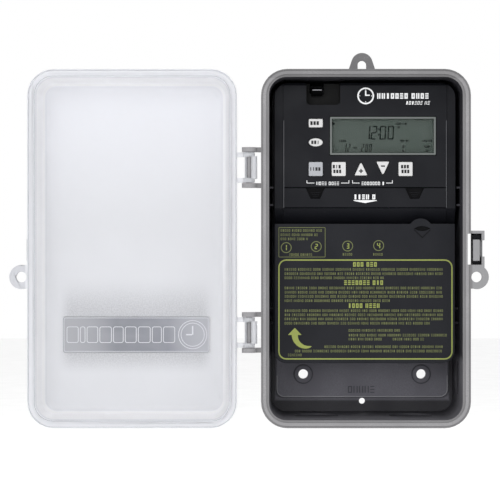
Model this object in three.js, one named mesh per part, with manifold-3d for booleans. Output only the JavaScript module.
// A wall-mounted electronic load controller in a weatherproof plastic enclosure.
//
// Every piece is drawn facing the person who uses it: x to the right, y up and z out from the wall,
// in millimetres. The root group turns that frame so that the object stands in one with +Z up, its
// back on the plane Y = 0 and its front towards -Y. The origin is the middle of the enclosure's back.
// The cover is drawn folded open flat, beside the enclosure.

import * as THREE from "three";
import { mergeVertices } from "three/addons/utils/BufferGeometryUtils.js";
import Module from "manifold-3d";

const wasm = await Module();
wasm.setup();

// ---- Driving dimensions ----

const GAP = 0.3; // running clearance between neighbouring pieces
const OVER = 0.5; // how far a cut or a joined shape runs past a face
const PAST = 3; // how far a cut that opens a face runs out into the air
const ROOT = 2; // how far an outside arm or ear runs into the enclosure's flange

const RIM = { halfWidth: 65.6, halfHeight: 112.3, radius: 16.5, z: 61 };
const FLANGE_DEPTH = 5;
const WALL = 3.2;
const SHELL_INSET = 2.2; // from the flange's edge to the box behind it
const SHELL_EDGE = 1; // the small slope around the back
const SHELL_RADII = { back: 12, edge: 13, flange: 14.5 };
const CAVITY = { halfWidth: 60.6, halfHeight: 107.4, radius: 11 };
const BASE_DRAFT = 1.6; // how much narrower the box is at the back than behind the flange, per side
const CAVITY_DRAFT = 2.2;
const BEAD = { inset: 1.3, width: 2, height: 0.8 };
const PLATFORM = { halfWidth: 55.4, bottom: -96, top: 103, radius: 5, z: 5.7 };

const TAB = { top: 126.7, thickness: 3.4 };
const TAB_FOOT = { halfWidth: 11.8, depth: 6 };
const TAB_HEAD = { radius: 6.9, angle: 0.32 }; // the sloped sides run into the round head
const TAB_SLOT = { halfWidth: 2.8, top: 121.7, bottom: 114.5 };
const MOUNTING_HOLE = { x: 38.1, y: -81.1, radius: 3.1, bossRadius: 5.5, bossHeight: 1 };
const CENTRE_HOLE = { y: -98.6, radius: 1.95 };
const DRAIN_HOLE = { z: 8, radius: 2 };

const KNOCKOUT_Z = 30;
const BOTTOM_KNOCKOUT = { x: 30, radius: 13.9 };
const SIDE_KNOCKOUT = { y: -82, radius: 11 };
const BACK_KNOCKOUT = { y: -30, radius: 13.9 };
const KNOCKOUT_THICKNESS = 1.8;
const KNOCKOUT_CENTRES = { bottom: -107.8, side: 61.1, back: 2.8 }; // middle of the wall each one fills
const WALL_CUT = 8; // how deep a hole through an outside wall is bored

const GUIDE_RIB = { inner: 57.8, outer: 60.5, halfHeight: 0.6, back: 10 };
const GUIDE_RIBS = [
  { y: 38.5, front: 46 },
  { y: 27.5, front: 46 },
  { y: -38, front: 37 },
  { y: -47, front: 37 },
];

const COVER_DEPTH = 32;
const COVER_PANEL = 2.6;
const COVER_FLANGE = 4.5;
// the cover's outside and inside as [depth behind the rim, inset from the rim's edge]
const COVER_OUTSIDE = [[4, 2.8], [24, 4.6], [28.6, 6], [31, 8.2], [32, 11]];
const COVER_INSIDE = [[-2, 4.6], [1.2, 4.9], [22, 7], [26, 8.2], [28.4, 10], [29.4, 12.6]];
const COVER_LEAST_RADII = { outside: 6, inside: 5 };
const CATCH = { inner: 64.6, outer: 66, back: -4.2, front: -0.3 };
const GROOVE = { slack: 0.4, depth: 1.4 }; // around the enclosure's bead
const PLATE_RECESS = { left: -45.3, right: 48.4, bottom: -66.4, top: -43.2, depth: 0.8, radius: 1.5 };

const HINGE_AXIS = { x: -73.1, z: RIM.z + GAP / 2 };
const HINGE_PIN_RADIUS = 1.95;
const HINGE_HEIGHT = 25.3;
const HINGE_BOTTOMS = { upper: 38, lower: -65.1 };
const HINGE_ARM = { thickness: 2.9, radius: 4.5, web: 10, relief: 0.1 };
const KNUCKLE = {
  armThickness: 2.9, armRadius: 3.6, hookRadius: 3.9, hookShift: 1.2, mouth: 2.8, relief: 0.05,
};

const HASP = { x: 69.2, y: -17.8, radius: 7.6, holeRadius: 3.3, thickness: 3, top: -10.3 };

const BRACKET = { back: 44, bottom: -10.1, top: 9.4, bar: 1.8, right: 74.1, slotLeft: 63.5, rear: 2 };
const BRACKET_POSTS = { topFrom: 5.2, bottomTo: -5 };
const CARRIER = { left: 67.2, right: 72, front: 58, floor: 1.7 };
const LATCH = { left: 66.8, right: 70.9, bottom: -7.7, top: 5.6, front: 63, headDepth: 2.2 };
const LATCH_STEM = { halfWidth: 1.2, neck: 2, hub: 2.1 };
const LATCH_PIN = { x: 69.6, z: 51, radius: 1, reach: 1.4 };

const MECHANISM = { halfWidth: 57, bottom: 16.2, top: 104.5, front: 48, split: 24, back: 6 };
const MECHANISM_WALL = 2.2;
const MECHANISM_CORNER = 9; // radius of the mechanism's two top corners
const RAISED_FACE = { halfWidth: 51.5, height: 0.7 };
const CHIN = { top: 25.4, z: 40 };
const SHOULDER = { depth: 3, slope: 1.6, drop: 1.3 }; // the face's sloped upper edge
const CREASE_Y = 86;
const SHELVES = { inset: 1, top: 1.8, topGap: 0.6, bottom: 1.5, topFront: 1.5, bottomFront: 3, back: 1 };
const NOTCH_WALL = 1.6;
const NOTCH_SETBACK = { top: 1, front: 2 }; // from the mechanism's top and face to the notch's walls
const NOTCH = { left: -36.8, right: -15.8, bottom: 90.6, floor: 38, radius: 2.5 };
const CHANNEL = { left: -34.6, right: -25.8, bottom: 98.2 };
const LUG_CHANNEL = { left: -36.6, right: -23.8, bottom: 97.8 };
const CORNER_SCREW = { x: 50.5, bottom: 21.3, top: 98.6, radius: 1.5, headRadius: 2.8, tip: 34 };
const SCREW_HEAD = { edge: 0.5, slope: 0.6, height: 1.8, recess: 2.4 };
const SCREW_POST = { front: 3, back: 3.6, lowEnd: 41.5, highEnd: 45 };
const STANDOFF = { radius: 2.4, inset: 4 };
const BACK_SHRINK = 0.4; // how much smaller the mechanism's back is than its front, per side
const FACE_CUT = 5; // how deep openings are cut through the mechanism's face

const RELEASE = { x: -30.2, halfWidth: 3.5, bottom: 99.6, top: 101.4, front: 45.6 };
const RELEASE_FOOT = { lip: 1, height: 4, neck: 6 };
const RELEASE_HEAD = { chamfer: 1, drop: 3, height: 3.2, clearance: 0.4 };
const RELEASE_PIN = { y: 100.5, z: 8, radius: 0.8, reach: 1.8 };
const RELEASE_LUG = { width: 2, halfHeight: 2, cap: 2 };

const DISPLAY = { left: -22.1, right: 44.6, bottom: 59, top: 83, rim: 1.2 };
const KEY = { proud: 0.9, back: 43.4, collar: 0.9, collarDepth: 1.2, clearance: 0.35 };
const SQUARE_KEY = 8.8;
const KEY_COLUMN_X = -31.1;
const KEY_ROW_Y = 50.1;
const KEY_CORNER = 0.7;
const MODE_KEY = { y: 79, height: 5.3 };
const EXIT_KEY = { y: 66.9, height: 5.1 };
const ENTER_KEY_X = -16.6;
const ON_OFF_KEY_X = 25.5;
const UP_KEY = { x: -2.6, y: 49.9, size: 7.6 };
const DOWN_KEY = { x: 11.2, y: 50.9, size: 7.7 };
const ARROW = { blunt: 0.45, sideGrowth: 1.6, tipGrowth: 2 };

const DRAWER = { halfWidth: 50.9, bottom: 25.7, top: 38.4, face: 3, back: 33.2, wall: 0.8 };
const FINGER_NOTCH = { x: 31.3, topHalf: 6.1, bottomHalf: 2.9, height: 7, depth: 1.8 };
const CELL = { radius: 5.15, length: 43.5, x: 22.9, y: 32.3, z: 39.6, nub: 1.9, nubLength: 0.9 };
const CONTACT_HALF = 3.6;
const DRAWER_EDGE = 0.5;
const TRAY = { inset: 1.6, bottom: 0.2, top: 1.4 };
const CONTACT_SPANS = { left: [-47.6, -45.4], middle: [-0.4, 0.4], right: [45.4, 47.6] };

const TERMINAL_XS = [-49.7, -30.6, -11.1, 8.5];
const TERMINAL_BLOCK = { left: -57, right: 24, bottom: -12, top: 15.9, back: 14, front: 38 };
const TERMINAL_POCKET = { halfWidth: 7.4, top: 7, back: 22 };
const TERMINAL_SCREW = { headRadius: 4, headHeight: 2.8, radius: 1.9, tip: 16.4 };
const SCREW_Y = -2;
const SCREW_SHAPE = { point: 0.5, taper: 0.6, crown: 0.7, slotHalf: 0.55, slotDepth: 1.2, slotReach: 5 };
const CLAMP = { halfSize: 5.6, thickness: 1.4, z: 24 };

const SHIELD = { left: -57.5, right: 56.5, bottom: -72.2, top: 15.6, back: 47.4, thickness: 1.6 };
const SHIELD_CORNER = 8;
const SHIELD_TAB = { x: 35, y: 11.2, radius: 7.8 };
const SHIELD_GRIP = { x: 36, y: 12.6, halfWidth: 5.2, halfHeight: 1.6, depth: 0.9 };
const SHIELD_PIN = { x: -53, z: 44, radius: 1, bottom: -68.2, top: 12.8 };
const SHIELD_POST = { halfWidth: 1.9, bottom: -68.4, top: -64.2, front: 46.5 };
const SHIELD_EAR = { bottom: 9, top: 13 };
const KNUCKLE_SPANS = [
  { bottom: -63.9, top: -52 },
  { bottom: -6, top: 8.7 },
];
const SHIELD_BARREL = { radius: 2.5, webHalf: 1.2 };
const SHIELD_BEVEL = 0.8;

const GROUND = { y: -56, halfWidth: 13, halfHeight: 4, thickness: 5, pitch: 8, holeRadius: 1.6 };
const GROUND_SCREW = {
  back: 0.4, radius: 1.3, headRadius: 3.4, shoulder: 2, crown: 2.5, slotHalf: 0.5, slotBack: 1.4,
};

const BOARD = 1.6; // thickness of a circuit board
const MAIN_BOARD = { halfWidth: 46, bottom: 20, top: 96, z: 12 };
const DISPLAY_BOARD = { halfWidth: 48, bottom: 42, top: 88, z: 38.8 };
const MAT = { left: -38, columnRight: -24.2, rowRight: 32, bottom: 44, rowTop: 56.4, top: 84 };
const MAT_DEPTHS = { back: 40.7, front: 42.1 }; // short of the keys when they are pressed
const BEZEL = { back: 2.6, proud: 0.5, radius: 0.6 };
const PANE = { back: 1.7, front: 0.4 };
const LCD_THICKNESS = 3;
const CORE = { left: -42, right: -8, bottom: 52, top: 80, back: 3, front: 18 };
const BOBBIN = { left: -38, right: -12, bottom: 47, top: 85, height: 20 };
const RELAY = { left: 6, right: 35, height: 16, bottoms: [66, 46], length: 13 };
const CAPACITOR = { x: 22, y: 29, radius: 6.2, endRadius: 5.6, neckRadius: 5.8, height: 15.6 };
const CAPACITOR_NECK = [1.2, 2.2, 3.2]; // heights where the sleeve is drawn in and widens again
const CHIP = { left: -4, right: 10, bottom: 64, top: 78, thickness: 2 };

// ---- Finishes ----

const FINISHES = {
  greyPlastic: { color: 0x8f8f91, roughness: 0.62, metalness: 0 },
  clearPlastic: { color: 0xe4e6ea, roughness: 0.35, metalness: 0, transparent: true, opacity: 0.55 },
  blackPlastic: { color: 0x26262b, roughness: 0.5, metalness: 0 },
  rubber: { color: 0x2a2a2a, roughness: 0.85, metalness: 0 },
  whiteKey: { color: 0xd8d8d8, roughness: 0.5, metalness: 0 },
  greyKey: { color: 0xbebec0, roughness: 0.5, metalness: 0 },
  bezel: { color: 0x9aa5a5, roughness: 0.35, metalness: 0 },
  window: { color: 0xbfc8c0, roughness: 0.05, metalness: 0, transparent: true, opacity: 0.3 },
  liquidCrystal: { color: 0x56605a, roughness: 0.3, metalness: 0 },
  circuitBoard: { color: 0x1f5a34, roughness: 0.5, metalness: 0 },
  relay: { color: 0x2b5da8, roughness: 0.45, metalness: 0 },
  laminations: { color: 0x55575c, roughness: 0.5, metalness: 0.8 },
  capacitorSleeve: { color: 0x24304f, roughness: 0.35, metalness: 0 },
  steel: { color: 0xb8bbc0, roughness: 0.35, metalness: 1 },
  brass: { color: 0xc39a4a, roughness: 0.35, metalness: 1 },
  groundGreen: { color: 0x2f7a45, roughness: 0.4, metalness: 0.6 },
  cellJacket: { color: 0x6a7078, roughness: 0.4, metalness: 0.3 },
};

const materials = Object.fromEntries(
  Object.entries(FINISHES).map(([name, look]) => [name, new THREE.MeshStandardMaterial(look)]),
);

// ---- Solids from three.js geometry ----

function solid(geometry) {
  geometry.deleteAttribute("normal");
  geometry.deleteAttribute("uv");
  const merged = mergeVertices(geometry, 1e-4);
  const vertProperties = Float32Array.from(merged.attributes.position.array);
  const triVerts = Uint32Array.from(merged.index.array);
  return new wasm.Manifold(new wasm.Mesh({ numProp: 3, vertProperties, triVerts }));
}

function piece(parent, name, body, finish) {
  const mesh = body.getMesh();
  const geometry = new THREE.BufferGeometry();
  geometry.setAttribute("position", new THREE.BufferAttribute(mesh.vertProperties, 3));
  geometry.setIndex(new THREE.BufferAttribute(mesh.triVerts, 1));
  geometry.computeVertexNormals();
  const made = new THREE.Mesh(geometry, materials[finish]);
  made.name = name;
  parent.add(made);
  return made;
}

const join = (first, ...rest) => rest.reduce((whole, part) => whole.add(part), first);

const cut = (first, ...rest) => rest.reduce((whole, part) => whole.subtract(part), first);

function box(left, right, bottom, top, back, front) {
  const shape = new THREE.BoxGeometry(right - left, top - bottom, front - back);
  shape.translate((left + right) / 2, (bottom + top) / 2, (back + front) / 2);
  return solid(shape);
}

// A flat outline drawn in x and y, given thickness from back to front.
function prism(shape, back, front, curveSegments = 4) {
  const depth = front - back;
  const body = new THREE.ExtrudeGeometry(shape, { depth, bevelEnabled: false, curveSegments });
  body.translate(0, 0, back);
  return solid(body);
}

// An outline drawn in y and z, given width from left to right.
function crosswise(points, left, right) {
  const shape = new THREE.Shape(points.map(([y, z]) => new THREE.Vector2(y, z)));
  const body = new THREE.ExtrudeGeometry(shape, { depth: right - left, bevelEnabled: false });
  body.translate(0, 0, left);
  body.applyMatrix4(new THREE.Matrix4().set(0, 0, 1, 0, 1, 0, 0, 0, 0, 1, 0, 0, 0, 0, 0, 1));
  return solid(body);
}

// An outline drawn in x and z, given height from bottom to top.
function upright(points, bottom, top) {
  const shape = new THREE.Shape(points.map(([x, z]) => new THREE.Vector2(x, -z)));
  const body = new THREE.ExtrudeGeometry(shape, { depth: top - bottom, bevelEnabled: false });
  body.rotateX(-Math.PI / 2);
  body.translate(0, bottom, 0);
  return solid(body);
}

function roundedRectangle(left, right, bottom, top, radius) {
  const shape = new THREE.Shape();
  shape.absarc(right - radius, top - radius, radius, 0, Math.PI / 2);
  shape.absarc(left + radius, top - radius, radius, Math.PI / 2, Math.PI);
  shape.absarc(left + radius, bottom + radius, radius, Math.PI, Math.PI * 1.5);
  shape.absarc(right - radius, bottom + radius, radius, Math.PI * 1.5, Math.PI * 2);
  return shape;
}

const centredRectangle = (halfWidth, halfHeight, radius) =>
  roundedRectangle(-halfWidth, halfWidth, -halfHeight, halfHeight, radius);

// A drafted box with rounded corners, through sections [z, halfWidth, halfHeight, radius].
function loft(sections) {
  const cornerSteps = 8;
  const ringSize = 4 * (cornerSteps + 1);
  const positions = [];
  for (const [z, halfWidth, halfHeight, radius] of sections) {
    for (let corner = 0; corner < 4; corner += 1) {
      const sideX = corner === 0 || corner === 3 ? 1 : -1;
      const sideY = corner < 2 ? 1 : -1;
      for (let step = 0; step <= cornerSteps; step += 1) {
        const angle = (corner + step / cornerSteps) * (Math.PI / 2);
        const x = sideX * (halfWidth - radius) + radius * Math.cos(angle);
        const y = sideY * (halfHeight - radius) + radius * Math.sin(angle);
        positions.push(x, y, z);
      }
    }
  }
  const index = [];
  for (let level = 0; level < sections.length - 1; level += 1) {
    for (let here = 0; here < ringSize; here += 1) {
      const next = (here + 1) % ringSize;
      const low = level * ringSize;
      const high = low + ringSize;
      index.push(low + here, low + next, high + next, low + here, high + next, high + here);
    }
  }
  const last = (sections.length - 1) * ringSize;
  for (let here = 1; here < ringSize - 1; here += 1) {
    index.push(0, here + 1, here, last, last + here, last + here + 1);
  }
  const geometry = new THREE.BufferGeometry();
  geometry.setAttribute("position", new THREE.Float32BufferAttribute(positions, 3));
  geometry.setIndex(index);
  return solid(geometry);
}

function cylinder(radius, length, segments) {
  return new THREE.CylinderGeometry(radius, radius, length, segments);
}

// Round bars along z, y and x.
function rodOut(x, y, radius, back, front, segments = 24) {
  const bar = cylinder(radius, front - back, segments);
  bar.rotateX(Math.PI / 2);
  bar.translate(x, y, (back + front) / 2);
  return solid(bar);
}

function rodUp(x, z, radius, bottom, top, segments = 24) {
  const bar = cylinder(radius, top - bottom, segments);
  bar.translate(x, (bottom + top) / 2, z);
  return solid(bar);
}

function rodAcross(y, z, radius, left, right, segments = 24) {
  const bar = cylinder(radius, right - left, segments);
  bar.rotateZ(Math.PI / 2);
  bar.translate((left + right) / 2, y, z);
  return solid(bar);
}

// A turned piece on an axis along z, from a profile of [radius, z] that starts and ends on the axis.
function turned(x, y, profile, segments = 24) {
  const points = profile.map(([radius, z]) => new THREE.Vector2(radius, z));
  const body = new THREE.LatheGeometry(points, segments);
  body.rotateX(Math.PI / 2);
  body.translate(x, y, 0);
  return solid(body);
}

// ---- Enclosure ----

// A ring that follows the rim, between two insets from its outer edge.
function rimRing(outerInset, innerInset, back, front) {
  const ringOutline = (inset) =>
    centredRectangle(RIM.halfWidth - inset, RIM.halfHeight - inset, RIM.radius - inset);
  const outer = prism(ringOutline(outerInset), back, front);
  const inner = prism(ringOutline(innerInset), back - OVER, front + OVER);
  return cut(outer, inner);
}

function baseShell() {
  const flangeBack = RIM.z - FLANGE_DEPTH;
  const frontWidth = RIM.halfWidth - SHELL_INSET;
  const frontHeight = RIM.halfHeight - SHELL_INSET;
  const edgeWidth = frontWidth - BASE_DRAFT;
  const edgeHeight = frontHeight - BASE_DRAFT;
  const shell = loft([
    [0, edgeWidth - SHELL_EDGE, edgeHeight - SHELL_EDGE, SHELL_RADII.back],
    [SHELL_EDGE, edgeWidth, edgeHeight, SHELL_RADII.edge],
    [flangeBack + OVER, frontWidth, frontHeight, SHELL_RADII.flange],
  ]);
  const flangeOutline = centredRectangle(RIM.halfWidth, RIM.halfHeight, RIM.radius);
  const flange = prism(flangeOutline, flangeBack, RIM.z);
  const bead = rimRing(BEAD.inset, BEAD.inset + BEAD.width, RIM.z - OVER, RIM.z + BEAD.height);
  const floorWidth = CAVITY.halfWidth - CAVITY_DRAFT;
  const floorHeight = CAVITY.halfHeight - CAVITY_DRAFT;
  const cavity = loft([
    [WALL, floorWidth, floorHeight, CAVITY.radius - CAVITY_DRAFT],
    [RIM.z, CAVITY.halfWidth, CAVITY.halfHeight, CAVITY.radius],
    [RIM.z + PAST, CAVITY.halfWidth, CAVITY.halfHeight, CAVITY.radius],
  ]);
  return cut(join(shell, flange, bead), cavity);
}

function hangingTab() {
  const shape = new THREE.Shape();
  const foot = RIM.halfHeight - TAB_FOOT.depth;
  const { radius, angle } = TAB_HEAD;
  shape.moveTo(-TAB_FOOT.halfWidth, foot);
  shape.lineTo(TAB_FOOT.halfWidth, foot);
  shape.absarc(0, TAB.top - radius, radius, angle, Math.PI - angle);
  const slot = new THREE.Shape();
  slot.absarc(0, TAB_SLOT.top - TAB_SLOT.halfWidth, TAB_SLOT.halfWidth, 0, Math.PI);
  slot.lineTo(-TAB_SLOT.halfWidth, TAB_SLOT.bottom);
  slot.lineTo(TAB_SLOT.halfWidth, TAB_SLOT.bottom);
  return cut(prism(shape, 0, TAB.thickness, 14), prism(slot, -OVER, TAB.thickness + OVER, 8));
}

function hingeArms() {
  const { x, z } = HINGE_AXIS;
  const root = -RIM.halfWidth + ROOT;
  const web = [
    [x, z - HINGE_ARM.radius],
    [root, RIM.z - HINGE_ARM.web],
    [root, RIM.z - HINGE_ARM.relief],
    [x, RIM.z - HINGE_ARM.relief],
  ];
  const arms = [];
  for (const bottom of Object.values(HINGE_BOTTOMS)) {
    for (const low of [bottom, bottom + HINGE_HEIGHT - HINGE_ARM.thickness]) {
      const high = low + HINGE_ARM.thickness;
      const arm = join(upright(web, low, high), rodUp(x, z, HINGE_ARM.radius, low, high));
      arms.push(cut(arm, rodUp(x, z, HINGE_PIN_RADIUS + GAP, low - OVER, high + OVER)));
    }
  }
  return arms;
}

// The padlock ear that the enclosure and the cover both carry, from back to front.
function haspEar(side, back, front) {
  const x = side * HASP.x;
  const [left, right] = [side * (RIM.halfWidth - ROOT), x].sort((a, b) => a - b);
  const plate = box(left, right, HASP.y - HASP.radius + GAP, HASP.top, back, front);
  const ear = join(plate, rodOut(x, HASP.y, HASP.radius, back, front, 40));
  return cut(ear, rodOut(x, HASP.y, HASP.holeRadius, back - OVER, front + OVER, 32));
}

function latchBracket() {
  const { back, bottom, top, bar, right } = BRACKET;
  const root = RIM.halfWidth - WALL;
  const postLeft = right - bar;
  const topBar = box(root, right, top, top + bar, back, RIM.z);
  const bottomBar = box(root, right, bottom - bar, bottom, back, RIM.z);
  const topPost = box(postLeft, right, BRACKET_POSTS.topFrom, top + OVER, back, RIM.z);
  const bottomPost = box(postLeft, right, bottom - OVER, BRACKET_POSTS.bottomTo, back, RIM.z);
  const rear = box(CARRIER.left - GAP, right, bottom - OVER, top + OVER, back, back + BRACKET.rear);
  const bracket = join(topBar, bottomBar, topPost, bottomPost, rear);
  const bore = rodUp(LATCH_PIN.x, LATCH_PIN.z, LATCH_PIN.radius + GAP, bottom - PAST, top + PAST, 16);
  return cut(bracket, bore);
}

function guideRibs() {
  const { inner, outer, halfHeight, back } = GUIDE_RIB;
  const ribs = [];
  for (const { y, front } of GUIDE_RIBS) {
    for (const side of [-1, 1]) {
      const [left, right] = [side * inner, side * outer].sort((a, b) => a - b);
      ribs.push(box(left, right, y - halfHeight, y + halfHeight, back, front));
    }
  }
  return ribs;
}

function releaseLugs() {
  const { width, halfHeight, cap } = RELEASE_LUG;
  const { y, z } = RELEASE_PIN;
  const lugs = [];
  for (const side of [-1, 1]) {
    const inner = RELEASE.x + side * (RELEASE.halfWidth + GAP);
    const [left, right] = [inner, inner + side * width].sort((a, b) => a - b);
    lugs.push(box(left, right, y - halfHeight, y + halfHeight, WALL, z + cap));
  }
  return lugs;
}

function releasePinBore() {
  const { x, halfWidth } = RELEASE;
  const reach = halfWidth + GAP + RELEASE_LUG.width + OVER;
  return rodAcross(RELEASE_PIN.y, RELEASE_PIN.z, RELEASE_PIN.radius + GAP, x - reach, x + reach, 16);
}

function enclosureBase() {
  const { halfWidth, bottom, top, radius, z } = PLATFORM;
  const outline = roundedRectangle(-halfWidth, halfWidth, bottom, top, radius);
  const platform = prism(outline, WALL - OVER, z);
  const posts = [-1, 1].map((side) => {
    const x = side * -SHIELD_PIN.x;
    const front = side < 0 ? SHIELD_POST.front : SHIELD.back - GAP;
    const { halfWidth: half, bottom: low, top: high } = SHIELD_POST;
    return box(x - half, x + half, low, high, WALL, front);
  });
  const bosses = [-1, 1].map((side) => {
    const { x, y, bossRadius, bossHeight } = MOUNTING_HOLE;
    return rodOut(side * x, y, bossRadius, WALL, z + bossHeight, 32);
  });
  const filled = join(
    baseShell(),
    platform,
    hangingTab(),
    ...hingeArms(),
    haspEar(1, RIM.z - HASP.thickness, RIM.z),
    latchBracket(),
    ...guideRibs(),
    ...releaseLugs(),
    ...posts,
    ...bosses,
  );
  const latchSlot = box(
    BRACKET.slotLeft, CARRIER.left - GAP, BRACKET.bottom, BRACKET.top,
    RIM.z - FLANGE_DEPTH - OVER, RIM.z + PAST,
  );
  const through = z + PAST;
  const bottomWall = -RIM.halfHeight;
  const sideWall = RIM.halfWidth;
  const bottomEnd = bottomWall + WALL_CUT;
  const sideEnd = sideWall - WALL_CUT;
  const { x: holeX, y: holeY, radius: holeRadius } = MOUNTING_HOLE;
  return cut(
    filled,
    latchSlot,
    releasePinBore(),
    rodOut(-holeX, holeY, holeRadius, -OVER, through, 28),
    rodOut(holeX, holeY, holeRadius, -OVER, through, 28),
    rodOut(0, CENTRE_HOLE.y, CENTRE_HOLE.radius, -OVER, through, 20),
    rodUp(0, DRAIN_HOLE.z, DRAIN_HOLE.radius, bottomWall, bottomEnd, 16),
    rodUp(-BOTTOM_KNOCKOUT.x, KNOCKOUT_Z, BOTTOM_KNOCKOUT.radius, bottomWall, bottomEnd, 40),
    rodUp(BOTTOM_KNOCKOUT.x, KNOCKOUT_Z, BOTTOM_KNOCKOUT.radius, bottomWall, bottomEnd, 40),
    rodAcross(SIDE_KNOCKOUT.y, KNOCKOUT_Z, SIDE_KNOCKOUT.radius, -sideWall, -sideEnd, 36),
    rodAcross(SIDE_KNOCKOUT.y, KNOCKOUT_Z, SIDE_KNOCKOUT.radius, sideEnd, sideWall, 36),
    rodOut(0, BACK_KNOCKOUT.y, BACK_KNOCKOUT.radius, -OVER, through, 40),
    rodUp(SHIELD_PIN.x, SHIELD_PIN.z, SHIELD_PIN.radius + GAP, SHIELD_POST.bottom - OVER, 0, 16),
  );
}

function addKnockouts(group) {
  const half = KNOCKOUT_THICKNESS / 2;
  const { bottom, side: sideX, back } = KNOCKOUT_CENTRES;
  const bottomRadius = BOTTOM_KNOCKOUT.radius - GAP;
  const sideRadius = SIDE_KNOCKOUT.radius - GAP;
  const sides = { left: -1, right: 1 };
  for (const [name, side] of Object.entries(sides)) {
    const low = rodUp(
      side * BOTTOM_KNOCKOUT.x, KNOCKOUT_Z, bottomRadius, bottom - half, bottom + half, 40,
    );
    piece(group, `knockout_bottom_${name}`, low, "greyPlastic");
    const centre = side * sideX;
    const flank = rodAcross(SIDE_KNOCKOUT.y, KNOCKOUT_Z, sideRadius, centre - half, centre + half, 36);
    piece(group, `knockout_${name}`, flank, "greyPlastic");
  }
  const rear = rodOut(0, BACK_KNOCKOUT.y, BACK_KNOCKOUT.radius - GAP, back - half, back + half, 40);
  piece(group, "knockout_back", rear, "greyPlastic");
}

function addHingePins(group) {
  for (const [name, bottom] of Object.entries(HINGE_BOTTOMS)) {
    const pin = rodUp(HINGE_AXIS.x, HINGE_AXIS.z, HINGE_PIN_RADIUS, bottom, bottom + HINGE_HEIGHT);
    piece(group, `hinge_pin_${name}`, pin, "greyPlastic");
  }
}

function addLatch(group) {
  const { left, right, front, floor } = CARRIER;
  const back = BRACKET.back + BRACKET.rear + GAP;
  const { x, z, radius, reach } = LATCH_PIN;
  const bore = rodUp(x, z, radius + GAP, BRACKET.bottom - PAST, BRACKET.top + PAST, 16);
  const block = box(left, right, BRACKET.bottom + GAP, BRACKET.top - GAP, back, front);
  const well = box(
    left - OVER, right + OVER, LATCH.bottom - GAP, LATCH.top + GAP, back + floor, front + OVER,
  );
  piece(group, "latch_carrier", cut(block, well, bore), "blackPlastic");

  const pin = rodUp(x, z, radius, BRACKET.bottom - reach, BRACKET.top + reach, 16);
  piece(group, "latch_pin", pin, "steel");

  const headBack = LATCH.front - LATCH.headDepth;
  const stem = [
    [x - LATCH_STEM.halfWidth, z],
    [LATCH.right, z],
    [LATCH.right, LATCH.front],
    [LATCH.left, LATCH.front],
    [LATCH.left, headBack],
    [x - LATCH_STEM.halfWidth, headBack - LATCH_STEM.neck],
  ];
  const plate = upright(stem, LATCH.bottom, LATCH.top);
  const hub = rodUp(x, z, LATCH_STEM.hub, LATCH.bottom, LATCH.top, 24);
  piece(group, "latch_plate", cut(join(plate, hub), bore), "greyPlastic");
}

function addReleaseLatch(group) {
  const { x, halfWidth, bottom, top, front } = RELEASE;
  const foot = PLATFORM.z + GAP;
  const { lip, height, neck } = RELEASE_FOOT;
  const { chamfer, drop, height: headHeight, clearance } = RELEASE_HEAD;
  const headBack = NOTCH.floor + clearance;
  const profile = [
    [bottom - lip, foot],
    [top + lip, foot],
    [top + lip, foot + height],
    [top, foot + neck],
    [top, front - chamfer],
    [top - chamfer, front],
    [bottom, front],
    [bottom - drop, NOTCH.floor + headHeight],
    [bottom - drop, headBack],
    [bottom, headBack],
    [bottom, foot + neck],
    [bottom - lip, foot + height],
  ];
  const clip = crosswise(profile, x - halfWidth, x + halfWidth);
  piece(group, "release_latch", cut(clip, releasePinBore()), "blackPlastic");
  const reach = halfWidth + GAP + RELEASE_PIN.reach;
  const pin = rodAcross(RELEASE_PIN.y, RELEASE_PIN.z, RELEASE_PIN.radius, x - reach, x + reach, 16);
  piece(group, "release_pin", pin, "steel");
}

function addGround(group) {
  const { y, halfWidth, halfHeight, thickness, pitch, holeRadius } = GROUND;
  const back = PLATFORM.z + GAP;
  const front = back + thickness;
  const block = box(-halfWidth, halfWidth, y - halfHeight, y + halfHeight, back, front);
  const holes = [-pitch, 0, pitch].map((x) => rodOut(x, y, holeRadius, back - OVER, front + OVER, 16));
  piece(group, "ground_bar", cut(block, ...holes), "brass");
  const screw = GROUND_SCREW;
  const profile = [
    [0, back + screw.back],
    [screw.radius, back + screw.back],
    [screw.radius, front + GAP],
    [screw.headRadius, front + GAP],
    [screw.headRadius, front + screw.shoulder],
    [screw.headRadius - 2 * GAP, front + screw.crown],
    [0, front + screw.crown],
  ];
  const slot = box(
    -screw.headRadius - OVER, screw.headRadius + OVER,
    y - screw.slotHalf, y + screw.slotHalf, front + screw.slotBack, front + PAST,
  );
  piece(group, "ground_screw", cut(turned(0, y, profile), slot), "groundGreen");
}

// ---- Cover, drawn about its own middle with its rim facing the viewer ----

function coverShell() {
  const { halfWidth, halfHeight, radius } = RIM;
  const sections = (profile, least) =>
    profile
      .map(([depth, inset]) => {
        const corner = Math.max(radius - inset, least);
        return [-depth, halfWidth - inset, halfHeight - inset, corner];
      })
      .reverse();
  const flange = prism(centredRectangle(halfWidth, halfHeight, radius), -COVER_FLANGE, 0);
  const shell = join(loft(sections(COVER_OUTSIDE, COVER_LEAST_RADII.outside)), flange);
  return cut(shell, loft(sections(COVER_INSIDE, COVER_LEAST_RADII.inside)));
}

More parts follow.
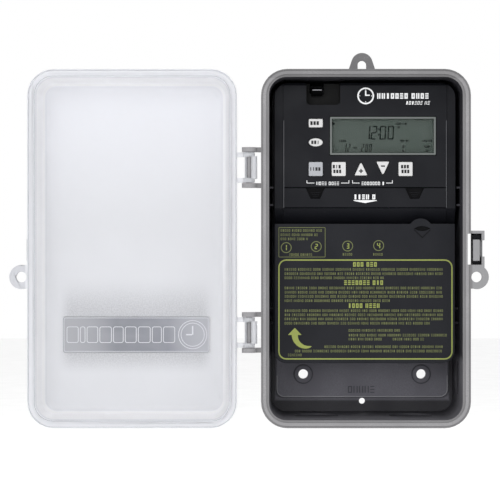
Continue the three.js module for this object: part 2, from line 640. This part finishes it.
function coverKnuckles() {
  const pinX = -HINGE_AXIS.x;
  const pinZ = HINGE_AXIS.z - RIM.z;
  const root = RIM.halfWidth - ROOT;
  const { armThickness, armRadius, hookRadius, hookShift, mouth, relief } = KNUCKLE;
  const knuckles = [];
  for (const bottom of Object.values(HINGE_BOTTOMS)) {
    const low = bottom + HINGE_ARM.thickness + GAP;
    const high = bottom + HINGE_HEIGHT - HINGE_ARM.thickness - GAP;
    for (const from of [low, high - armThickness]) {
      const to = from + armThickness;
      const web = box(root, pinX, from, to, pinZ - armRadius, -relief);
      knuckles.push(join(web, rodUp(pinX, pinZ, armRadius, from, to)));
    }
    const hookLow = low + armThickness - OVER;
    const hookHigh = high - armThickness + OVER;
    const hook = rodUp(pinX + hookShift, pinZ, hookRadius, hookLow, hookHigh);
    const opening = box(
      pinX - mouth / 2, pinX + mouth / 2, hookLow + OVER, hookHigh - OVER, pinZ, pinZ + 2 * hookRadius,
    );
    knuckles.push(cut(hook, opening));
  }
  return knuckles;
}

function cover() {
  const pinZ = HINGE_AXIS.z - RIM.z;
  const catchPlate = box(
    -CATCH.outer, -CATCH.inner, LATCH.bottom, LATCH.top, CATCH.back, CATCH.front,
  );
  const { left, right, bottom, top, depth, radius } = PLATE_RECESS;
  const panel = -(COVER_DEPTH - COVER_PANEL);
  const plate = prism(roundedRectangle(left, right, bottom, top, radius), panel - depth, panel + OVER);
  const whole = join(coverShell(), ...coverKnuckles(), haspEar(-1, -HASP.thickness, 0), catchPlate);
  const { halfHeight } = RIM;
  const pinBore = rodUp(-HINGE_AXIS.x, pinZ, HINGE_PIN_RADIUS + GAP, -halfHeight, halfHeight);
  const outerInset = BEAD.inset - GROOVE.slack;
  const innerInset = BEAD.inset + BEAD.width + GROOVE.slack;
  const groove = rimRing(outerInset, innerInset, -GROOVE.depth, PAST);
  return cut(whole, plate, pinBore, groove);
}

// ---- Mechanism housings ----

// The housing's side outline in y and z, pulled in by an inset and lowered by a drop.
function housingOutline(inset, drop, back) {
  const { bottom, top, front } = MECHANISM;
  const face = front - inset - drop;
  return [
    [bottom + inset, back],
    [top - inset, back],
    [top - inset, face - SHOULDER.depth],
    [top - inset - SHOULDER.slope, face - SHOULDER.drop],
    [CREASE_Y, face],
    [CHIN.top + inset / 2, face],
    [bottom + inset, CHIN.z - drop - inset / 2],
  ];
}

// Rounds the mechanism's top corners, at an inset from its sides and top.
function roundTop(body, inset) {
  const { halfWidth, top, front } = MECHANISM;
  const across = halfWidth - inset;
  const corner = MECHANISM_CORNER - inset;
  const outline = roundedRectangle(-across, across, -2 * top, top - inset, corner);
  return body.intersect(prism(outline, -OVER, front + OVER));
}

function keyOutlines() {
  const rectangle = (x, y, width, height) =>
    (grow) =>
      roundedRectangle(
        x - width / 2 - grow, x + width / 2 + grow, y - height / 2 - grow, y + height / 2 + grow,
        KEY_CORNER + Math.max(grow, 0) / 2,
      );
  const oval = (x, y, width, height) => (grow) => {
    const shape = new THREE.Shape();
    shape.absellipse(x, y, width / 2 + grow, height / 2 + grow, 0, Math.PI * 2);
    return shape;
  };
  // An isosceles triangle with its corners blunted, pointing up (1) or down (-1).
  const triangle = (x, y, size, point) => (grow) => {
    const { blunt, sideGrowth, tipGrowth } = ARROW;
    const half = size / 2 + grow * sideGrowth;
    const low = -size / 2 - grow;
    const high = size / 2 + grow * tipGrowth;
    const corners = [
      [-half + blunt / 2, low],
      [half - blunt / 2, low],
      [half, low + blunt],
      [blunt, high],
      [-blunt, high],
      [-half, low + blunt],
    ];
    const ordered = point > 0 ? corners : corners.reverse();
    return new THREE.Shape(ordered.map(([u, v]) => new THREE.Vector2(x + u, y + point * v)));
  };
  return {
    button_mode: rectangle(KEY_COLUMN_X, MODE_KEY.y, SQUARE_KEY, MODE_KEY.height),
    button_exit: oval(KEY_COLUMN_X, EXIT_KEY.y, SQUARE_KEY, EXIT_KEY.height),
    button_reset: rectangle(KEY_COLUMN_X, KEY_ROW_Y, SQUARE_KEY, SQUARE_KEY),
    button_enter: rectangle(ENTER_KEY_X, KEY_ROW_Y, SQUARE_KEY, SQUARE_KEY),
    button_up: triangle(UP_KEY.x, UP_KEY.y, UP_KEY.size, 1),
    button_down: triangle(DOWN_KEY.x, DOWN_KEY.y, DOWN_KEY.size, -1),
    button_on_off: rectangle(ON_OFF_KEY_X, KEY_ROW_Y, SQUARE_KEY, SQUARE_KEY),
  };
}

// How finely a key's round corners are divided.
const keySteps = (name) => (name === "button_exit" ? 12 : 2);

function screwCorners() {
  const { x, bottom, top } = CORNER_SCREW;
  return [[-x, bottom], [x, bottom], [-x, top], [x, top]];
}

function mechanismHousing() {
  const { halfWidth, front, split, top } = MECHANISM;
  const inside = MECHANISM_WALL;
  const raised = crosswise(housingOutline(0, 0, split), -RAISED_FACE.halfWidth, RAISED_FACE.halfWidth);
  const sides = crosswise(housingOutline(0, RAISED_FACE.height, split), -halfWidth, halfWidth);
  const block = roundTop(join(raised, sides), 0);
  const space = crosswise(housingOutline(inside, 0, split - OVER), -halfWidth, halfWidth);
  const hollow = roundTop(space, inside);
  const shelf = halfWidth - SHELVES.inset;
  const shelfBack = DRAWER.back - SHELVES.back;
  const shelfLow = DRAWER.top + SHELVES.topGap;
  const floorLow = DRAWER.bottom - SHELVES.bottom;
  const shelves = [
    box(-shelf, shelf, shelfLow, DRAWER.top + SHELVES.top, shelfBack, front - SHELVES.topFront),
    box(-shelf, shelf, floorLow, DRAWER.bottom - GAP, shelfBack, front - SHELVES.bottomFront),
  ];
  const well = box(
    NOTCH.left - NOTCH_WALL, NOTCH.right + NOTCH_WALL, NOTCH.bottom - NOTCH_WALL,
    top - NOTCH_SETBACK.top, NOTCH.floor - NOTCH_WALL, front - NOTCH_SETBACK.front,
  );
  const posts = screwCorners().map(([x, y]) =>
    rodOut(x, y, SCREW_POST.front, split, y < CREASE_Y / 2 ? SCREW_POST.lowEnd : SCREW_POST.highEnd),
  );
  const screwHoles = screwCorners().map(([x, y]) =>
    rodOut(x, y, CORNER_SCREW.radius + GAP, split - OVER, CORNER_SCREW.tip + OVER, 16),
  );
  const notch = prism(
    roundedRectangle(NOTCH.left, NOTCH.right, NOTCH.bottom, top + 2 * PAST, NOTCH.radius),
    NOTCH.floor,
    front + PAST,
  );
  const channel = box(CHANNEL.left, CHANNEL.right, CHANNEL.bottom, top + PAST, split - OVER, front + PAST);
  const { left, right, bottom: low, top: high } = DISPLAY;
  const cutBack = front - FACE_CUT;
  const windowCut = box(left - GAP, right + GAP, low - GAP, high + GAP, cutBack, front + PAST);
  const bay = box(
    -DRAWER.halfWidth - GAP, DRAWER.halfWidth + GAP,
    DRAWER.bottom - GAP, DRAWER.top + GAP, shelfBack - SHELVES.back, front + PAST,
  );
  const keyHoles = Object.entries(keyOutlines()).map(([name, outline]) =>
    prism(outline(KEY.clearance), cutBack, front + PAST, keySteps(name)),
  );
  return cut(
    join(cut(block, hollow), ...shelves, well, ...posts),
    notch, channel, windowCut, bay, ...keyHoles, ...screwHoles,
  );
}

function mechanismBack() {
  const { halfWidth, bottom, top, split, back } = MECHANISM;
  const front = split - GAP;
  const wall = MECHANISM_WALL;
  const space = box(-halfWidth, halfWidth, bottom + wall, top, back + wall, front + OVER);
  const shell = cut(
    roundTop(box(-halfWidth, halfWidth, bottom, top, back, front), BACK_SHRINK),
    roundTop(space, wall + BACK_SHRINK),
  );
  const corners = screwCorners().map(([x, y]) => rodOut(x, y, SCREW_POST.back, back, front));
  const { bottom: low, top: high, halfWidth: reach, z } = MAIN_BOARD;
  const { radius, inset } = STANDOFF;
  const standoffs = [];
  for (const x of [-reach + inset, reach - inset]) {
    for (const y of [low + inset, high - inset]) {
      standoffs.push(rodOut(x, y, radius, back + wall - OVER, z - GAP, 16));
    }
  }
  const bores = [];
  const headEnd = back + SCREW_HEAD.recess;
  for (const [x, y] of screwCorners()) {
    bores.push(rodOut(x, y, CORNER_SCREW.radius + GAP, back - OVER, front + OVER, 16));
    bores.push(rodOut(x, y, CORNER_SCREW.headRadius + GAP, back - OVER, headEnd, 20));
  }
  const channel = box(
    LUG_CHANNEL.left, LUG_CHANNEL.right, LUG_CHANNEL.bottom, top + PAST, back - OVER, split + OVER,
  );
  return cut(join(shell, ...corners, ...standoffs), ...bores, channel);
}

function addCornerScrews(group) {
  const headBack = MECHANISM.back + GAP;
  const headFront = headBack + SCREW_HEAD.height;
  const { headRadius, radius, tip } = CORNER_SCREW;
  const profile = [
    [0, headBack],
    [headRadius - SCREW_HEAD.edge, headBack],
    [headRadius, headBack + SCREW_HEAD.slope],
    [headRadius, headFront],
    [radius, headFront],
    [radius, tip - 2 * SCREW_HEAD.edge],
    [0, tip],
  ];
  screwCorners().forEach(([x, y], at) => {
    piece(group, `housing_screw_${at + 1}`, turned(x, y, profile, 16), "steel");
  });
}

// ---- Display and keys ----

function addDisplay(group) {
  const { left, right, bottom, top, rim } = DISPLAY;
  const { front } = MECHANISM;
  const outline = roundedRectangle(left, right, bottom, top, BEZEL.radius);
  const frame = cut(
    prism(outline, front - BEZEL.back, front + BEZEL.proud),
    box(left + rim, right - rim, bottom + rim, top - rim, front - FACE_CUT, front + PAST),
  );
  piece(group, "lcd_bezel", frame, "bezel");
  const inset = rim + GAP;
  const pane = box(
    left + inset, right - inset, bottom + inset, top - inset, front - PANE.back, front - PANE.front,
  );
  piece(group, "lcd_window", pane, "window");
  const panelFront = front - BEZEL.back - GAP;
  const panel = box(left, right, bottom, top, panelFront - LCD_THICKNESS, panelFront);
  piece(group, "lcd_panel", panel, "liquidCrystal");
}

function addKeys(group) {
  const { front } = MECHANISM;
  for (const [name, outline] of Object.entries(keyOutlines())) {
    const stem = prism(outline(0), KEY.back, front + KEY.proud, keySteps(name));
    const collar = prism(outline(KEY.collar), KEY.back, KEY.back + KEY.collarDepth, keySteps(name));
    const finish = name === "button_reset" ? "greyKey" : "whiteKey";
    piece(group, name, join(stem, collar), finish);
  }
  const { left, columnRight, rowRight, bottom, rowTop, top } = MAT;
  const column = box(left, columnRight, bottom, top, MAT_DEPTHS.back, MAT_DEPTHS.front);
  const row = box(left, rowRight, bottom, rowTop, MAT_DEPTHS.back, MAT_DEPTHS.front);
  piece(group, "keypad_mat", join(column, row), "rubber");
}

// ---- Circuit boards and what they carry ----

function addElectronics(group) {
  const { halfWidth, bottom, top, z } = MAIN_BOARD;
  piece(group, "main_board", box(-halfWidth, halfWidth, bottom, top, z, z + BOARD), "circuitBoard");
  const shown = DISPLAY_BOARD;
  const display = box(
    -shown.halfWidth, shown.halfWidth, shown.bottom, shown.top, shown.z, shown.z + BOARD,
  );
  piece(group, "display_board", display, "circuitBoard");

  const seat = z + BOARD + GAP;
  const core = box(CORE.left, CORE.right, CORE.bottom, CORE.top, seat + CORE.back, seat + CORE.front);
  const bobbin = box(
    BOBBIN.left, BOBBIN.right, BOBBIN.bottom, BOBBIN.top, seat, seat + BOBBIN.height,
  );
  piece(group, "transformer", join(core, bobbin), "laminations");
  RELAY.bottoms.forEach((low, at) => {
    const relay = box(RELAY.left, RELAY.right, low, low + RELAY.length, seat, seat + RELAY.height);
    piece(group, `relay_${at + 1}`, relay, "relay");
  });
  const { radius, endRadius, neckRadius, height } = CAPACITOR;
  const can = [
    [0, seat],
    [endRadius, seat],
    [radius, seat + CAPACITOR_NECK[0]],
    [neckRadius, seat + CAPACITOR_NECK[1]],
    [radius, seat + CAPACITOR_NECK[2]],
    [radius, seat + height - (radius - endRadius)],
    [endRadius, seat + height],
    [0, seat + height],
  ];
  piece(group, "capacitor", turned(CAPACITOR.x, CAPACITOR.y, can), "capacitorSleeve");
  const chipFront = shown.z - GAP;
  const chip = box(
    CHIP.left, CHIP.right, CHIP.bottom, CHIP.top, chipFront - CHIP.thickness, chipFront,
  );
  piece(group, "controller_chip", chip, "blackPlastic");
}

// ---- Battery drawer ----

function batteryDrawer() {
  const { halfWidth, bottom, top, face, back, wall } = DRAWER;
  const { front } = MECHANISM;
  const faceBack = front - face;
  const edge = DRAWER_EDGE;
  const faceOutline = [
    [bottom, faceBack],
    [top, faceBack],
    [top, front - edge],
    [top - edge, front],
    [bottom + edge, front],
    [bottom, front - edge],
  ];
  const facePlate = crosswise(faceOutline, -halfWidth, halfWidth);
  const trayHalf = halfWidth - TRAY.inset;
  const trayLow = bottom + TRAY.bottom;
  const tray = cut(
    box(-trayHalf, trayHalf, trayLow, top - TRAY.top, back, faceBack + OVER),
    box(-trayHalf + wall, trayHalf - wall, trayLow + wall, top + OVER, back + wall, faceBack),
  );
  const notches = [-1, 1].map((side) => {
    const { x, topHalf, bottomHalf, height, depth } = FINGER_NOTCH;
    const corners = [
      [-topHalf, top + OVER],
      [-topHalf, top],
      [-bottomHalf, top - height],
      [bottomHalf, top - height],
      [topHalf, top],
      [topHalf, top + OVER],
    ];
    const outline = new THREE.Shape(corners.map(([u, v]) => new THREE.Vector2(side * x + u, v)));
    return prism(outline, front - depth, front + OVER);
  });
  return cut(join(facePlate, tray), ...notches);
}

function addBatteryDrawer(group) {
  piece(group, "battery_drawer", batteryDrawer(), "blackPlastic");
  const { radius, length, x, y, z, nub, nubLength } = CELL;
  for (const [name, side] of [["left", -1], ["right", 1]]) {
    const middle = side * x - nubLength / 2;
    const can = rodAcross(y, z, radius, middle - length / 2, middle + length / 2);
    const nubLeft = middle + length / 2 - OVER;
    const cell = join(can, rodAcross(y, z, nub, nubLeft, nubLeft + OVER + nubLength, 16));
    piece(group, `battery_cell_${name}`, cell, "cellJacket");
  }
  for (const [name, [left, right]] of Object.entries(CONTACT_SPANS)) {
    const half = CONTACT_HALF;
    const tab = box(left, right, y - half, y + half, z - half, z + half);
    piece(group, `battery_contact_${name}`, tab, "steel");
  }
}

// ---- Terminals ----

function terminalBlock() {
  const { left, right, bottom, top, back, front } = TERMINAL_BLOCK;
  const pocket = TERMINAL_POCKET;
  const { x, z, radius } = SHIELD_PIN;
  const half = SHIELD_POST.halfWidth;
  const earBack = front - OVER;
  const ear = box(x - half, x + half, SHIELD_EAR.bottom, SHIELD_EAR.top, earBack, SHIELD_POST.front);
  const pockets = TERMINAL_XS.map((at) => {
    const [from, to] = [at - pocket.halfWidth, at + pocket.halfWidth];
    return box(from, to, bottom - OVER, pocket.top, pocket.back, front + OVER);
  });
  const boreBack = TERMINAL_SCREW.tip - 2 * OVER;
  const bores = TERMINAL_XS.map((at) =>
    rodOut(at, SCREW_Y, TERMINAL_SCREW.radius + GAP, boreBack, pocket.back + OVER, 16),
  );
  const block = join(box(left, right, bottom, top, back, front), ear);
  return cut(block, ...pockets, ...bores, rodUp(x, z, radius + GAP, 0, top, 16));
}

function addTerminals(group) {
  piece(group, "terminal_block", terminalBlock(), "blackPlastic");
  const { halfSize, thickness, z } = CLAMP;
  const { headRadius, headHeight, radius, tip } = TERMINAL_SCREW;
  const seat = z + thickness + GAP;
  const { point, taper, crown, slotHalf, slotDepth, slotReach } = SCREW_SHAPE;
  const headFront = seat + headHeight;
  const profile = [
    [0, tip],
    [radius - point, tip],
    [radius, tip + taper],
    [radius, seat],
    [headRadius, seat],
    [headRadius, headFront - taper],
    [headRadius - crown, headFront],
    [0, headFront],
  ];
  TERMINAL_XS.forEach((x, at) => {
    const y = SCREW_Y;
    const slot = box(
      x - slotReach, x + slotReach, y - slotHalf, y + slotHalf, headFront - slotDepth, headFront + OVER,
    );
    piece(group, `terminal_screw_${at + 1}`, cut(turned(x, y, profile), slot), "steel");
    const plate = box(x - halfSize, x + halfSize, y - halfSize, y + halfSize, z, z + thickness);
    const clearance = rodOut(x, y, radius + GAP, z - OVER, z + thickness + OVER, 16);
    piece(group, `terminal_clamp_${at + 1}`, cut(plate, clearance), "brass");
  });
}

// ---- Terminal shield ----

function shieldOutline() {
  const { left, right, bottom, top } = SHIELD;
  const shape = new THREE.Shape();
  shape.moveTo(right, top);
  shape.lineTo(left, top);
  shape.absarc(left + SHIELD_CORNER, bottom + SHIELD_CORNER, SHIELD_CORNER, Math.PI, Math.PI * 1.5);
  shape.absarc(right - SHIELD_CORNER, bottom + SHIELD_CORNER, SHIELD_CORNER, Math.PI * 1.5, Math.PI * 2);
  return shape;
}

// The lens-shaped hollow for a fingertip, between two arcs.
function gripOutline() {
  const { x, y, halfWidth, halfHeight } = SHIELD_GRIP;
  const shape = new THREE.Shape();
  shape.moveTo(x - halfWidth, y);
  shape.quadraticCurveTo(x, y - 2 * halfHeight, x + halfWidth, y);
  shape.quadraticCurveTo(x, y + 2 * halfHeight, x - halfWidth, y);
  return shape;
}

function terminalShield() {
  const { left, bottom, top, back, thickness } = SHIELD;
  const front = back + thickness;
  const plate = prism(shieldOutline(), back, front);
  const tab = rodOut(SHIELD_TAB.x, SHIELD_TAB.y, SHIELD_TAB.radius, back, front, 40);
  const { x, z, radius } = SHIELD_PIN;
  const knuckles = KNUCKLE_SPANS.map((span) => {
    const { radius: barrel, webHalf } = SHIELD_BARREL;
    const web = box(x - webHalf, x + webHalf, span.bottom, span.top, z, back + OVER);
    return join(web, rodUp(x, z, barrel, span.bottom, span.top));
  });
  const edge = [
    [left - PAST, front + PAST],
    [left - PAST, front - SHIELD_BEVEL - PAST],
    [left + SHIELD_BEVEL + PAST, front + PAST],
  ];
  const grip = prism(gripOutline(), front - SHIELD_GRIP.depth, front + OVER);
  const bore = rodUp(x, z, radius + GAP, bottom, top, 16);
  return cut(join(plate, tab, ...knuckles), upright(edge, bottom - OVER, top + OVER), grip, bore);
}

// ---- Assembly ----

const controller = new THREE.Group();
const facing = new THREE.Group();
facing.rotation.x = Math.PI / 2;
controller.add(facing);

const enclosure = new THREE.Group();
piece(enclosure, "enclosure_base", enclosureBase(), "greyPlastic");
addKnockouts(enclosure);
addHingePins(enclosure);
addLatch(enclosure);
addReleaseLatch(enclosure);
addGround(enclosure);
facing.add(enclosure);

const openCover = new THREE.Group();
openCover.position.set(2 * HINGE_AXIS.x, 0, RIM.z);
piece(openCover, "cover", cover(), "clearPlastic");
facing.add(openCover);

const mechanism = new THREE.Group();
piece(mechanism, "mechanism_housing", mechanismHousing(), "blackPlastic");
piece(mechanism, "mechanism_back", mechanismBack(), "blackPlastic");
addCornerScrews(mechanism);
addDisplay(mechanism);
addKeys(mechanism);
addElectronics(mechanism);
addBatteryDrawer(mechanism);
addTerminals(mechanism);
facing.add(mechanism);

const shield = new THREE.Group();
piece(shield, "terminal_shield", terminalShield(), "blackPlastic");
const shieldRod = rodUp(SHIELD_PIN.x, SHIELD_PIN.z, SHIELD_PIN.radius, SHIELD_PIN.bottom, SHIELD_PIN.top, 16);
piece(shield, "shield_pin", shieldRod, "steel");
facing.add(shield);

controller.updateMatrixWorld(true);

export default controller;
